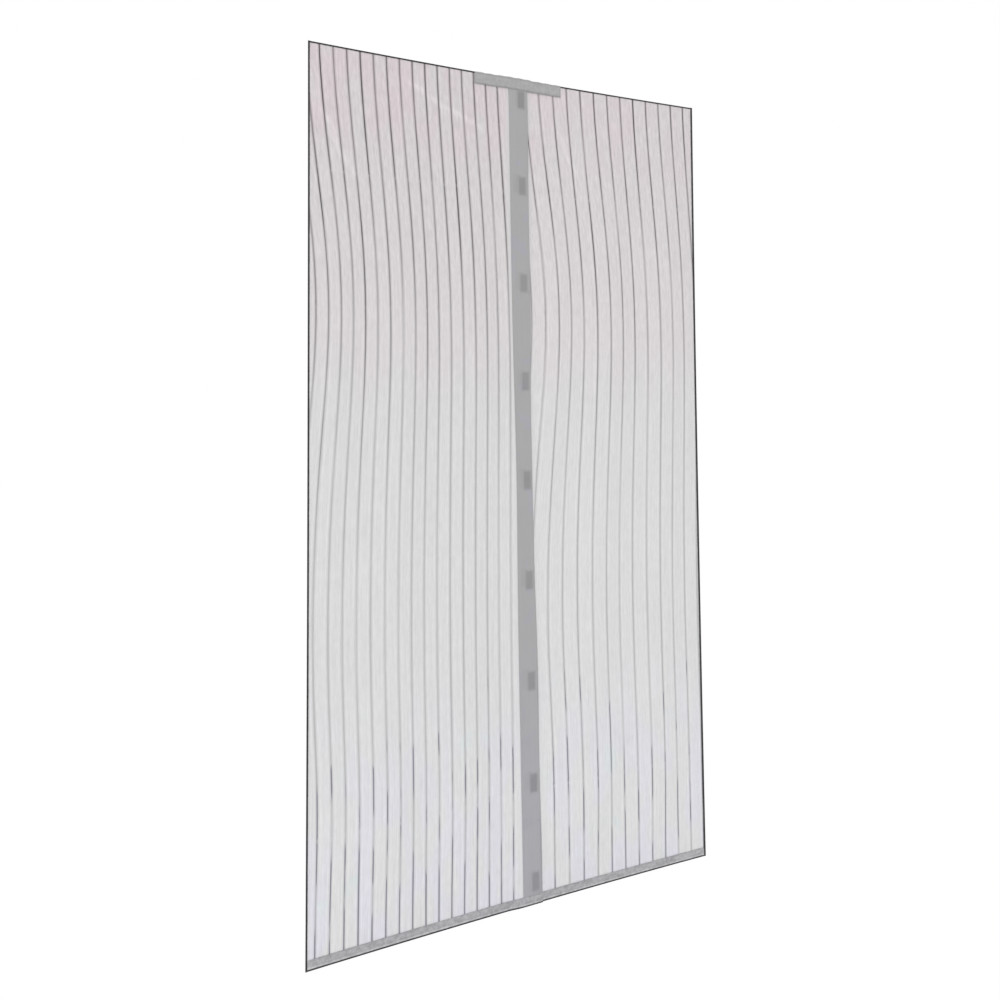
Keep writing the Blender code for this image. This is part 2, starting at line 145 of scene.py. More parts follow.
def tape_narrows(z):
    """How much nearer to the middle line a tape's edges come at a level, most at its waist."""
    return TAPE_WAIST * bell((fallen(z) - WAIST_AT) / WAIST_SPREAD)


def tape_edge(side, z):
    """The edge of a centre tape that takes the net, half a tape's width from the middle line."""
    return tape_middle(z) + side * (TAPE_WIDTH / 2 - tape_narrows(z))


def net_edges(side, z):
    """Left and right edge of a net: inside the side trim's fold, and tucked into its tape along a
    straight line."""
    outer = side * (SIDE - LEAF - GAP) + 0 * z
    inner = tape_line(z) + side * (TAPE_WIDTH / 2 - TUCK)
    return (outer, inner) if side < 0 else (inner, outer)


def trim_width(side):
    return RIGHT_TRIM_WIDTH if side > 0 else TRIM_WIDTH


def pulls(x, z):
    """How the hung screen pulls in: the share that x keeps, least half way down, and the length that z
    loses, which is most mid-span at the top and turns to a gain at the foot."""
    v = fallen(z)
    pull = np.where(x < 0, PULL_LEFT, PULL_RIGHT)
    return 1 - 4 * v * (1 - v) * pull / SIDE, DIP * (1 - (x / SIDE) ** 2) * (1 - 2 * v)


def pulled_in(points):
    """Where points of the flat screen hang."""
    x, y, z = points.T
    kept, lost = pulls(x, z)
    return np.stack([x * kept, y, z - lost], axis=1)


def laid_flat(x, z):
    """The flat place of what hangs at (x, z), near enough for a pull of a few millimetres."""
    kept, lost = pulls(x, z)
    return x / kept, z + lost


def step_forward(side, x, z):
    """The left panel eases forward by one lap before its tape; the right panel stays in its plane."""
    if side > 0:
        return 0.0 * (x + z)
    return LAP * ease((x - tape_edge(side, z) + LAP_RUN) / LAP_RUN)


def sway(panel, start, v):
    """Sideways shift of the weave: a drift that rises below the top, plus a crest, a trough and a rebound
    that die out across the panel from its left edge."""
    drift = DRIFT * (1 - np.exp(-((np.maximum(v, 0.0) / DRIFT_RISE) ** 1.5)))
    swing = panel.crest * bell((v - CREST_AT) / CREST_SPREAD)
    swing = swing - panel.trough * bell((v - TROUGH_AT) / TROUGH_SPREAD)
    swing = swing + panel.rebound * bell((v - REBOUND_AT) / REBOUND_SPREAD)
    return drift + swing * np.exp(-(start - panel.edge) / panel.reach)


def woven_from(panel, x, z):
    """Where along the top the thread through (x, z) starts: x less the sway of that start, found by
    putting each answer back in."""
    start = x
    for _ in range(SWAY_ROUNDS):
        start = x - sway(panel, start, fallen(z))
    return start


def net_depth(panel, x, z):
    """How far the net's middle stands in front of its plane: the step forward, the shallow folds, small
    puckers beside the tape, and faint flat creases from the time it lay folded in its pack."""
    start = woven_from(panel, x, z)
    inner = np.abs(x - tape_edge(panel.side, z))
    outer = SIDE - np.abs(x)
    sides = ease(inner / RIPPLE_SIDE_FADE - RIPPLE_START) * ease(outer / RIPPLE_SIDE_FADE - RIPPLE_START)
    ends = ease((NET_TOP - z) / RIPPLE_TOP_FADE) * ease((z - FOOT - HEM_HEIGHT) / RIPPLE_FOOT_FADE)
    wave = 0.5 + 0.5 * np.sin(2 * np.pi * start / RIPPLE_LENGTH + RIPPLE_TURN * fallen(z))
    folds = RIPPLE * wave * sides * ends
    near = inner / PUCKER_REACH
    turn = 2 * np.pi * z / PUCKER_LENGTH
    pucker = PUCKER * (np.sin(turn) + 0.6 * np.sin(turn / 0.63 + 1.1)) * near * np.exp(1 - near)
    above_hem = np.clip((z - FOOT - HEM_HEIGHT) / PUCKER_REACH, 0.0, None)
    gather = PUCKER * np.sin(2 * np.pi * x / GATHER_LENGTH + 2 * np.sin(x * 21.0))
    gather = gather * above_hem * np.exp(1 - above_hem)
    creases = sum(bell((TOP - z - drop) / CREASE_SPREAD) for drop in CREASE_DROPS)
    detail = 0.5 * pucker + 0.5 * gather - CREASE_DEPTH * creases
    detail = detail * ease(inner / FLAT_EDGE) * ease(outer / FLAT_EDGE)
    return step_forward(panel.side, x, z) + folds + detail


def net_y(panel, x, z):
    return PLANE - net_depth(panel, x, z)


# ---------------------------------------------------------------------- meshes from arrays


def at(*parts):
    """Places as one array, from arrays of their coordinates: x, y and z, or two on the cloth."""
    return np.stack(np.broadcast_arrays(*parts), axis=-1)


def mesh_of(name, points, faces, uv, values=None, hung=True, sharp=True):
    """A mesh from an array of points and a list of faces, with a UV place and named values at each
    point. Points of hung cloth are given flat and pulled in here."""
    mesh = bpy.data.meshes.new(name)
    mesh.from_pydata((pulled_in(points) if hung else points).tolist(), [], faces)
    corners = np.empty(len(mesh.loops), dtype=np.int32)
    mesh.loops.foreach_get("vertex_index", corners)
    mesh.uv_layers.new(name="cloth").data.foreach_set("uv", uv[corners].astype(np.float32).ravel())
    for word, value in (values or {}).items():
        made = mesh.attributes.new(word, "FLOAT", "POINT")
        made.data.foreach_set("value", value.astype(np.float32).ravel())
    mesh.polygons.foreach_set("use_smooth", np.ones(len(mesh.polygons), dtype=bool))
    if sharp:
        mesh.set_sharp_from_angle(angle=np.radians(50))
    mesh.update()
    return mesh


def cloth(name, middle, thickness, uv, values=None, hung=True):
    """A closed sheet about a grid of middle points, given as its x, y and z: each point goes half the
    thickness along the grid's normal and half against it, and a rim joins the two layers. Columns run
    before rows, and the first layer is on the side of column direction times row direction."""
    middle = at(*middle)
    rows, columns = middle.shape[:2]
    normal = np.cross(np.gradient(middle, axis=1), np.gradient(middle, axis=0))
    normal /= np.linalg.norm(normal, axis=2, keepdims=True)
    half = normal * thickness / 2
    points = np.concatenate([middle + half, middle - half]).reshape(-1, 3)
    front = np.arange(rows * columns).reshape(rows, columns)
    back = front + rows * columns

    def quads(a, b, c, d):
        return np.stack([a, b, c, d], axis=-1).reshape(-1, 4)

    faces = [
        quads(front[:-1, :-1], front[:-1, 1:], front[1:, 1:], front[1:, :-1]),
        quads(back[1:, :-1], back[1:, 1:], back[:-1, 1:], back[:-1, :-1]),
        quads(front[0, :-1], back[0, :-1], back[0, 1:], front[0, 1:]),
        quads(front[-1, 1:], back[-1, 1:], back[-1, :-1], front[-1, :-1]),
        quads(front[1:, 0], back[1:, 0], back[:-1, 0], front[:-1, 0]),
        quads(front[:-1, -1], back[:-1, -1], back[1:, -1], front[1:, -1]),
    ]
    uv = np.tile(at(*uv).reshape(-1, 2), (2, 1))
    values = {
        word: np.tile(np.broadcast_to(value, (rows, columns)).ravel(), 2)
        for word, value in (values or {}).items()
    }
    return mesh_of(name, points, np.concatenate(faces).tolist(), uv, values, hung)


def new_object(data):
    made = bpy.data.objects.new(data.name, data)
    bpy.context.scene.collection.objects.link(made)
    return made


def piece(mesh, material, slot, *nodes):
    """An object at the origin that rides on the screen's one body, and stands for the nodes named."""
    made = new_object(mesh)
    mesh.materials.append(material)
    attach(made, "root")
    if nodes:
        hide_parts(*nodes)
    return made


def run(low, high, step):
    """Even stations from low to high, about a step apart."""
    return np.linspace(low, high, max(2, int(round((high - low) / step)) + 1))


# ---------------------------------------------------------------------- reckoning with shader nodes


class Value:
    """What a shader node puts out. It is added, multiplied and so on as a number is, by new nodes."""

    def __init__(self, socket):
        self.socket = socket

    def __add__(self, other):
        return maths("ADD", self, other)

    def __sub__(self, other):
        return maths("SUBTRACT", self, other)

    def __rsub__(self, other):
        return maths("SUBTRACT", other, self)

    def __mul__(self, other):
        return maths("MULTIPLY", self, other)

    def __truediv__(self, other):
        return maths("DIVIDE", self, other)

    def __rtruediv__(self, other):
        return maths("DIVIDE", other, self)

    def __abs__(self):
        return maths("ABSOLUTE", self)


def new_node(kind, *values):
    """A new node in the tree that the values come from, some of which may be plain numbers."""
    known = next(value for value in values if isinstance(value, Value))
    return known.socket.id_data.nodes.new("ShaderNode" + kind)


def feed(value, socket):
    """Joins a value to a node's input, or sets the input to a plain number or colour."""
    value = getattr(value, "socket", value)
    if isinstance(value, bpy.types.NodeSocket):
        socket.id_data.links.new(value, socket)
    elif value is not None:
        socket.default_value = value


def maths(operation, *values):
    node = new_node("Math", *values)
    node.operation = operation
    for value, socket in zip(values, node.inputs):
        feed(value, socket)
    return Value(node.outputs[0])


def sine(value):
    return maths("SINE", value)


def larger(first, second):
    return maths("MAXIMUM", first, second)


def between(value, low, high, to_low=0.0, to_high=1.0):
    """Eases from to_low to to_high as a value goes from low to high."""
    given = {"Value": value, "From Min": low, "From Max": high, "To Min": to_low, "To Max": to_high}
    node = new_node("MapRange", *given.values())
    node.interpolation_type = "SMOOTHSTEP"
    for word, each in given.items():
        feed(each, node.inputs[word])
    return Value(node.outputs["Result"])


def blend_colours(share, first, second, way="MIX"):
    node = new_node("Mix", share, first, second)
    node.data_type = "RGBA"
    node.blend_type = way
    for value, which in ((share, "Factor"), (first, 6), (second, 7)):
        feed(value, node.inputs[which])
    return Value(node.outputs[2])


def noise(place, scale, detail=2.0, roughness=0.5):
    node = new_node("TexNoise", place)
    given = {"Vector": place, "Scale": scale, "Detail": detail, "Roughness": roughness}
    for word, each in given.items():
        feed(each, node.inputs[word])
    return Value(node.outputs["Fac"])


def split(place):
    node = new_node("SeparateXYZ", place)
    feed(place, node.inputs[0])
    return [Value(socket) for socket in node.outputs]


def joined(x, y, z=0.0):
    node = new_node("CombineXYZ", x, y, z)
    for value, socket in zip((x, y, z), node.inputs):
        feed(value, socket)
    return Value(node.outputs[0])


# ---------------------------------------------------------------------- shader node groups


def node_group(name, **inputs):
    """Makes a node group out of a function of a place and of the inputs named here with their usual
    values, or None for a colour. The function gives the group's outputs by name."""

    def build(pattern):
        made = bpy.data.node_groups.new(name, "ShaderNodeTree")

        def socket(word, way, kind):
            return made.interface.new_socket(word, in_out=way, socket_type="NodeSocket" + kind)

        socket("Place", "INPUT", "Vector")
        for word, usual in inputs.items():
            if usual is None:
                socket(word, "INPUT", "Color")
            else:
                socket(word, "INPUT", "Float").default_value = usual
        results = pattern(*(Value(each) for each in made.nodes.new("NodeGroupInput").outputs if each.name))
        for word in results:
            socket(word, "OUTPUT", "Color" if word == "Color" else "Float")
        out = made.nodes.new("NodeGroupOutput").inputs
        for word, value in results.items():
            feed(value, out[word])
        return made

    return build


@node_group("plain weave", Pitch=0.0007)
def plain_weave(place, pitch):
    """Threads over and under each other: in each cell of the checker the warp or the weft is a round
    ridge, the absolute sine across it."""
    u, v = (each / pitch for each in split(place)[:2])
    checker = maths("FLOORED_MODULO", maths("FLOOR", u) + maths("FLOOR", v), 2.0)
    warp, weft = (abs(sine(each * np.pi)) for each in (u, v))
    return {"Height": warp * checker + weft * (1.0 - checker)}


@node_group("net mesh", Pitch=0.0013, Thread=0.45)
def net_mesh(place, pitch, thread):
    """Fine square netting: 1 on a thread and 0 in the hole, from the distance to the nearest line of the
    grid in each direction."""
    warp, weft = (abs(maths("FRACT", each / pitch) - 0.5) * 2.0 for each in split(place)[:2])
    return {"Thread": between(larger(warp, weft), 1.0 - thread, 1.0)}


@node_group("streaks", Across=400.0, Along=6.0)
def streaks(place, across, along):
    """Long thin streaks along the cloth: noise that is stretched along it. Comes out from -1 to 1."""
    u, v, _ = split(place)
    return {"Value": (noise(joined(u * across, v * along), 1.0, 3.0, 0.6) - 0.5) * 2.0}


@node_group("column tint", First=0.0, Pitch=0.03, Along=4.0)
def column_tint(place, first, pitch, along):
    """A value from 0 to 1 that differs from one column between stripes to the next and drifts slowly
    down it: noise at (whole number of the column, place along it)."""
    u, v, _ = split(place)
    number = maths("FLOOR", (u - first) / pitch)
    return {"Value": between(noise(joined(number * 3.7, v * along), 1.0, 1.0), 0.38, 0.62)}


@node_group("beside stripes", First=0.0, Pitch=0.03)
def beside_stripes(place, first, pitch):
    """The net beside each stripe, from the distance to the nearest one: Dark is 1 on the few dark threads
    next to it, and Pale is 1 on the pale threads a little farther off."""
    part = maths("FRACT", (split(place)[0] - first) / pitch)
    away = maths("MINIMUM", part, 1.0 - part) * pitch
    return {"Dark": between(away, 0.0056, 0.0022), "Pale": between(abs(away - 0.0075), 0.0030, 0.0008)}


@node_group("height tint", Top=None, Middle=None, Foot=None, Turn=0.55)
def height_tint(place, top, middle, foot, turn):
    """Colour that changes from the top of the screen over its middle, at the share Turn of the height, to
    its foot, and the share of the height itself."""
    share = (TOP - split(place)[2]) / HEIGHT
    upper = blend_colours(between(share, 0.0, turn), top, middle)
    return {"Color": blend_colours(between(share, turn, 0.97), upper, foot), "Fallen": share}


@node_group("clouding", Size=0.1)
def clouding(place, size):
    """Soft uneven patches, from -1 to 1, of a given size in metres."""
    return {"Value": (noise(place, 1.0 / size) - 0.5) * 3.0}


@node_group("tall patches")
def tall_patches(place):
    """Soft upright patches, 0 to 1: noise with cells about 60 mm wide and 200 mm tall."""
    x, _, z = split(place)
    return {"Value": between(noise(joined(x * 16.0, z * 5.0), 1.0, 1.0), 0.42, 0.58)}


@node_group("pale creases")
def crease_highlights(place):
    """Painted highlight that makes the net a little paler along a few creases: 1 on each crease and 0
    beside it, from the distance to its line, which wobbles, and fading out towards its ends."""
    x, _, z = split(place)
    wobble = (noise(place, 14.0, 3.0) - 0.5) * 0.030
    value = 0.0
    for x_from, z_from, x_to, z_to in CREASE_HIGHLIGHTS:
        length = np.hypot(x_to - x_from, z_to - z_from)
        right, up = (x_to - x_from) / length, (z_to - z_from) / length
        x_past, z_past = x - x_from, z - z_from
        along = x_past * right + z_past * up
        near = between(abs(x_past * up - z_past * right + wobble), CREASE_HIGHLIGHT_REACH, 0.0)
        ends = between(along, 0.0, CREASE_HIGHLIGHT_FADE) * between(along, length, length - CREASE_HIGHLIGHT_FADE)
        value = larger(value, near * ends)
    return {"Value": value}


def placed(group, place, **values):
    """A node group in a material, with its inputs set: its one output, or all of them by name."""
    node = new_node("Group", place)
    node.node_tree = group
    for word, value in {"Place": place, **values}.items():
        feed(value, node.inputs[word])
    given = {socket.name: Value(socket) for socket in node.outputs}
    return given if len(given) > 1 else given.popitem()[1]


# ---------------------------------------------------------------------- finishes


def grey(level):
    """The linear colour of an evenly lit grey or tinted paper, from its levels of 0 to 255."""
    level = np.broadcast_to(np.asarray(level, dtype=float) / 255, 3)
    linear = np.where(level <= 0.04045, level / 12.92, ((level + 0.055) / 1.055) ** 2.4)
    return (*linear.tolist(), 1.0)


def finish(name, roughness, sheen=0.0, metallic=0.0):
    """A new material, and the places that patterns are laid out on: the screen's own and the cloth's."""
    made = bpy.data.materials.new(name)
    made.use_nodes = True
    shader = made.node_tree.nodes["Principled BSDF"].inputs
    shader["Roughness"].default_value = roughness
    shader["Metallic"].default_value = metallic
    shader["Sheen Weight"].default_value = sheen
    shader["Specular IOR Level"].default_value = 0.25
    where = made.node_tree.nodes.new("ShaderNodeTexCoord").outputs
    return made, Value(where["Object"]), Value(where["UV"])


def coated(made, colour, height, depth, roughness=None):
    """The material with its colour, and with relief of a depth in metres, joined to its shader."""
    shader = made.node_tree.nodes["Principled BSDF"].inputs
    bump = new_node("Bump", height)
    bump.inputs["Strength"].default_value = 1.0
    bump.inputs["Distance"].default_value = depth
    feed(height, bump.inputs["Height"])
    feed(bump.outputs["Normal"], shader["Normal"])
    feed(colour, shader["Base Color"])
    feed(roughness, shader["Roughness"])
    return made


def mesh_value(word, place):
    """A value that the mesh carries at its points."""
    node = new_node("Attribute", place)
    node.attribute_name = word
    return Value(node.outputs["Fac"])


def greyed(colour, share):
    """A colour whose tint is turned down to a share of it, at the same lightness."""
    plain = new_node("RGBToBW", colour)
    feed(colour, plain.inputs[0])
    return blend_colours(share, plain.outputs[0], colour)


def varied(colour, value, amount=1.0):
    """A colour made darker and lighter by a share of a value from -1 to 1."""
    factor = maths("MULTIPLY_ADD", value, amount, 1.0)
    return blend_colours(1.0, colour, joined(factor, factor, factor), "MULTIPLY")


def clouded(colour, place, size, amount):
    return varied(colour, placed(clouding, place, Size=size), amount)


def tinted(place, tones, **turn):
    """The height tint between three tones in levels of 0 to 255."""
    top, middle, foot = (grey(level) for level in tones)
    return placed(height_tint, place, Top=top, Middle=middle, Foot=foot, **turn)


def woven(made, colour, uv, pitch=0.0007):
    """The material with its colour on a plain weave, whose threads are paler than the gaps."""
    height = placed(plain_weave, uv, Pitch=pitch)
    return coated(made, varied(colour, height - WEAVE_MEAN, 0.12), height, WEAVE_DEPTH)


# Mean height of the weave and the mesh, and how deep their relief is
WEAVE_MEAN, MESH_MEAN, WEAVE_DEPTH = 0.64, 0.62, 0.00012
RIB_LENGTH = 0.0011

# Levels of the net's tone at its top, its middle and its foot, where it is pinkest near the top, where it
# is coolest near the foot, and the faint pink of all its upper part, as shares of a plain tone
NET_TONES = {-1: (212, 222, (228, 227, 235)), 1: (215, 224, (229, 228, 236))}
NET_PINK = {-1: (217, 206.5, 210), 1: (218, 209.5, 212)}
NET_COOL = (221, 229, 229)
BLUSH = (1.0246, 0.9825, 0.9930, 1.0)
SELVEDGE_TONES = ((212, 211, 211), 223, (230, 229, 232))
YARN_TOP, YARN_DARK = (136, 128, 131), (142, 141, 152)
TAPE_COOL = (169, 168, 175)
HEM_LOWER, HEM_UPPER = (193, 192, 195), (175, 175, 178)
TRIM_TONE, TRIM_RUBBED = 52, 92


def net_finish(panel):
    """Pale netting: faintly pink down to a third of its height, pinker at the very top, and bluish in
    patches near the foot, with fine streaks and flecks, darker and paler threads beside each stripe, a
    painted highlight along a few creases, and a plain selvedge beside the tape."""
    made, place, uv = finish(f"{panel.word} net", 0.85, sheen=0.1)
    tint = tinted(place, NET_TONES[panel.side], Turn=0.64)
    share = tint["Fallen"]
    patch = placed(tall_patches, place)
    colour = greyed(tint["Color"], between(share, 0.55, 0.70, 1.0, patch))
    colour = blend_colours(between(share + patch * 0.03, 0.43, 0.355), colour, BLUSH, "MULTIPLY")
    spacing = {"First": panel.edge + panel.first, "Pitch": panel.pitch}
    pink = larger(placed(column_tint, uv, Along=7.0, **spacing), 0.8 - patch)
    colour = blend_colours(pink * between(share, 0.14, 0.08), colour, grey(NET_PINK[panel.side]))
    cool = between(placed(clouding, place, Size=0.10), 0.35, 0.8) * between(share, 0.70, 0.86)
    colour = blend_colours(cool, colour, grey(NET_COOL))
    beside = placed(beside_stripes, uv, **spacing)
    colour = varied(colour, beside["Dark"] * between(share, 0.10, 0.50, -0.22, -0.12))
    colour = varied(colour, beside["Pale"], 0.03)
    flecks = placed(streaks, uv, Across=170.0, Along=35.0) * between(share, 0.10, 0.45, 0.20, 0.10)
    colour = varied(colour, placed(streaks, uv) * 0.12 + flecks)
    # Painted highlight along a few creases, a little paler
    colour = varied(colour, placed(crease_highlights, place), 0.09)
    colour = clouded(colour, place, 0.12, 0.012)
    colour = blend_colours(mesh_value("selvedge", place), colour, tinted(place, SELVEDGE_TONES)["Color"])
    thread = placed(net_mesh, uv)
    return coated(made, varied(colour, thread - MESH_MEAN, 0.10), thread, WEAVE_DEPTH)


def stripe_finish(panel, low, unlike, level):
    """Dark yarn: darkest at the top, where stripes are unlike each other, and palest below the middle.
    Towards the foot more and more of it, by the share low just above the hem, is dark and bluish in long
    tapered lengths with pale ones between."""
    made, place, uv = finish(f"{panel.word} stripe yarn", 0.8, sheen=0.1)
    tint = tinted(place, (YARN_TOP, level, (level + 3, level + 2, level + 6)), Turn=0.62)
    share = tint["Fallen"]
    uneven = placed(streaks, place, Across=30.0, Along=6.0) * between(share, 0.15, 0.50, unlike, 0.7)
    x, _, z = split(place)
    lengths = noise(joined(x * 30.0, x * 9.0 + z * 7.0), 1.0, 1.0)
    cut = between(share, 0.64, 0.90, 0.25, 0.57) + between(share, 0.92, 0.975, 0.0, low)
    colour = varied(tint["Color"], uneven)
    colour = blend_colours(between(cut - lengths, 0.0, 0.10), colour, grey(YARN_DARK))
    across, along, _ = split(uv)
    twist = sine((along + across * 0.7) * 5200.0)
    return coated(made, varied(colour, twist, 0.08), twist, 0.00008)


def tape_finish(name, level, foot, weave=0.0007, printed=False, lower_edge_shadow=False):
    """Grey woven tape with faint lines along it. Where printed, the magnets darken the cloth over them, a
    painted shadow line darkens its free edge low down, and it is a little bluish in patches. Where its
    lower edge is shaded, a painted shadow darkens a strip along that edge, and a line along its upper one
    is darker."""
    made, place, uv = finish(name, 0.75, sheen=0.15)
    colour = tinted(place, (level, level, foot))["Color"]
    if printed:
        cool = between(placed(clouding, place, Size=0.05), 0.30, 0.45)
        colour = blend_colours(cool, colour, grey(TAPE_COOL))
    colour = varied(colour, placed(streaks, uv, Across=260.0, Along=2.0), 0.05)
    colour = clouded(colour, place, 0.06, 0.02)
    if printed:
        # Magnets showing through, together with the painted shadow line along the free edge
        colour = varied(colour, mesh_value("magnet_print", place), -0.30)
        colour = varied(colour, mesh_value("rubbed", place), 0.10)
    if lower_edge_shadow:
        # Painted shadow along the lower edge, and a darker line along the upper one
        high = split(uv)[1] - (TOP - BAND_HEIGHT)
        colour = varied(colour, between(high, 0.0042, 0.0030), -0.17)
        colour = varied(colour, between(abs(high - (BAND_HEIGHT - 0.0035)), 0.0030, 0.0010), -0.08)
        colour = clouded(colour, place, 0.010, 0.13)
    return woven(made, colour, uv, weave)


def hem_finish():
    """Grey hem tape: the upper strip darker, the turned-up lower strip lighter, with a thin dark line
    where they meet."""
    made, place, uv = finish("hem tape", 0.75, sheen=0.15)
    high = split(uv)[1]
    upper = between(high, HEM_STEP_AT - 0.0006, HEM_STEP_AT + 0.0006)
    colour = blend_colours(upper, grey(HEM_LOWER), grey(HEM_UPPER))
    colour = varied(colour, between(abs(high - HEM_STEP_AT), 0.0, 0.0008, -1.0, 0.0), 0.12)
    colour = clouded(clouded(colour, place, 0.07, 0.10), place, 0.008, 0.32)
    return woven(made, colour, uv)


def trim_finish():
    """Narrow dark binding: ribbed across, a little rubbed where it folds."""
    made, place, uv = finish("dark trim", 0.7, sheen=0.1)
    ribs = sine(split(uv)[1] * (2 * np.pi / RIB_LENGTH))
    colour = clouded(grey(TRIM_TONE), place, 0.03, 0.15)
    colour = blend_colours(mesh_value("rubbed", place) * 0.35, colour, grey(TRIM_RUBBED))
    return coated(made, varied(colour, ribs, 0.12), ribs, 0.0001)


def thread_finish(name, level):
    """Sewing thread, with its plies laid aslant."""
    made, place, uv = finish(name, 0.6, sheen=0.1)
    u, v, _ = split(uv)
    plies = sine((u + v) * 9000.0)
    return coated(made, varied(clouded(grey(level), place, 0.05, 0.05), plies, 0.10), plies, 0.00004)


def pile_finish(name, level, pitch, depth, rough):
    """Hook or loop field: close-set tufts in rows, a little uneven."""
    made, place, _ = finish(name, rough)
    x, _, z = split(place)
    rows, columns = (sine(each * (2 * np.pi / pitch)) for each in (x, z))
    height = rows * columns * 0.5 + noise(place, 900.0)
    return coated(made, varied(clouded(grey(level), place, 0.04, 0.03), height, 0.10), height, depth)


def hard_finish(name, level, rough, metallic=0.0):
    """Pressed rubber or plain steel: fine grain and light scuffs."""
    made, place, _ = finish(name, rough, metallic=metallic)
    grain = noise(place, 1500.0, 3.0)
    scuffs = placed(streaks, place, Across=60.0, Along=900.0)
    colour = varied(varied(grey(level), grain, 0.15), scuffs, 0.10)
    return coated(made, colour, grain, 0.00003, grain * 0.2 + (rough - 0.1))


TRIM = trim_finish()
HEM = hem_finish()
TAPE = tape_finish("centre tape", 169, (172, 172, 177), printed=True)
BAND_TAPE = tape_finish("closure band", (168, 169, 168), 168, weave=0.0009, lower_edge_shadow=True)
LOOP_PILE = pile_finish("loop pile", 196, 0.0016, 0.0004, 0.95)
HOOKS = pile_finish("hook field", 205, 0.0014, 0.0003, 0.6)
YARNS = {-1: stripe_finish(LEFT, 0.13, 1.9, 194), 1: stripe_finish(RIGHT, -0.06, 2.7, 190)}
GREY_THREAD = thread_finish("grey thread", 160)
PALE_THREAD = thread_finish("pale thread", 214)
DARK_THREAD = thread_finish("dark thread", 60)
RUBBER = hard_finish("magnet rubber", 64, 0.6)
STEEL = hard_finish("weight steel", 178, 0.35, 1.0)


# ---------------------------------------------------------------------- nets and their stripes

NET_ROW, NET_COLUMN = 0.0105, 0.0048
SELVEDGE, SELVEDGE_SOFT = 0.0040, 0.005
SELVEDGE_SHOWS = {-1: 0.9, 1: 0.7}
STRIPE_NUMBERS = np.arange(-6, 20)
STRIPE_STEP, STRIPE_ROW, STRIPE_SHORTEST = 0.001, 0.012, 0.025
STRIPE_HIDDEN = 0.0023
YARN_POINTS = 8
YARN_CAP = [[0, 1, 2, 3], [0, 3, 4, 7], [4, 5, 6, 7]]


def net_piece(panel):
    """The net: a grid from edge to edge at each level, at the depth that net_depth gives, NET thick. Its
    UV place is (where along the top the weave starts, height), so the mesh runs with the stripes."""
    z = run(NET_FOOT, NET_TOP, NET_ROW)[:, None]
    share = run(0.0, 1.0, NET_COLUMN / (SIDE - TAPE_WIDTH / 2))[None, :]
    low, high = net_edges(panel.side, z)
    x = low + (high - low) * share
    middle, uv = (x, net_y(panel, x, z), z), (woven_from(panel, x, z), z)
    from_tape = np.abs(x - tape_edge(panel.side, z))
    selvedge = SELVEDGE_SHOWS[panel.side] * (1 - ease((from_tape - SELVEDGE) / SELVEDGE_SOFT))
    mesh = cloth(f"{panel.word}_net_cloth", middle, NET, uv, {"selvedge": selvedge})
    return piece(mesh, net_finish(panel), "net", f"{panel.word}_net")


def stripe_piece(panel):
    """Every stripe is a flat oval cord of yarn round the net's middle, 4.4 mm by 1.2 mm, along the line
    x = start + sway, from starts a pitch apart along the top. It ends inside the side trim, the tape, the
    hem or the top trim."""
    turn = np.linspace(0, 2 * np.pi, YARN_POINTS, endpoint=False)
    z = run(NET_FOOT + 0.004, NET_TOP - 0.0005, STRIPE_STEP)
    low, high = net_edges(panel.side, z)
    if panel.side < 0:
        low, high = STRIPE_HIDDEN - SIDE, high - TUCK / 4
    else:
        low, high = low + TUCK / 4, SIDE - STRIPE_HIDDEN
    points, faces, uvs, total = [], [], [], 0
    for start in panel.edge + panel.first + STRIPE_NUMBERS * panel.pitch:
        x = start + sway(panel, start, fallen(z))
        inside = (x > low) & (x < high)
        ends = np.flatnonzero(np.diff(np.concatenate([[0], inside.astype(int), [0]])))
        for first, last in zip(ends[::2], ends[1::2]):
            if last - first < round(STRIPE_SHORTEST / STRIPE_STEP):
                continue
            level = run(z[first], z[last - 1], STRIPE_ROW)[:, None]
            line = start + sway(panel, start, fallen(level))
            thin = 0.92 + 0.08 * np.sin(level * 9.0 + start * 40.0)
            across = YARN_WIDTH / 2 * thin * np.cos(turn)[None, :]
            deep = -YARN / 2 * np.sin(turn)[None, :]
            count = len(level) * YARN_POINTS
            index = total + np.arange(count).reshape(-1, YARN_POINTS)
            turned = np.roll(index, -1, axis=1)
            faces.append(np.stack([index[:-1], turned[:-1], turned[1:], index[1:]], axis=-1).reshape(-1, 4))
            faces += [index[0][::-1][YARN_CAP], index[-1][YARN_CAP]]
            points.append(at(line + across, net_y(panel, line, level) + deep, level).reshape(-1, 3))
            uvs.append(at(across, level).reshape(-1, 2))
            total += count
    points, faces, uvs = (np.concatenate(each) for each in (points, faces, uvs))
    mesh = mesh_of(f"{panel.word}_net_stripes", points, faces.tolist(), uvs)
    return piece(mesh, YARNS[panel.side], "net")


# ---------------------------------------------------------------------- folded tapes and trims

ALONG_TRIM, DOWN_TRIM = 0.006, 0.012
OPEN_LEAF, HEM_LEAF = 4, 9


def fold_section(depth, height, leaf_points):
    """Middle line of a folded tape, as (across its depth, away from its fold): down one leaf, round a
    quarter circle on each side of the fold, and up the other leaf."""
    half, near = depth / 2 - LEAF / 2, LEAF / 2
    turn = min(half, height / 3)
    leaf = np.stack([np.full(leaf_points, -half), np.linspace(height, near + turn, leaf_points)], axis=1)
    angle = np.radians([22.5, 45, 67.5])
    corner = np.stack([-half + turn - turn * np.cos(angle), near + turn * (1 - np.sin(angle))], axis=1)
    front = np.concatenate([leaf, corner])
    return np.concatenate([front, [[0.0, near]], front[::-1] * (-1, 1)])


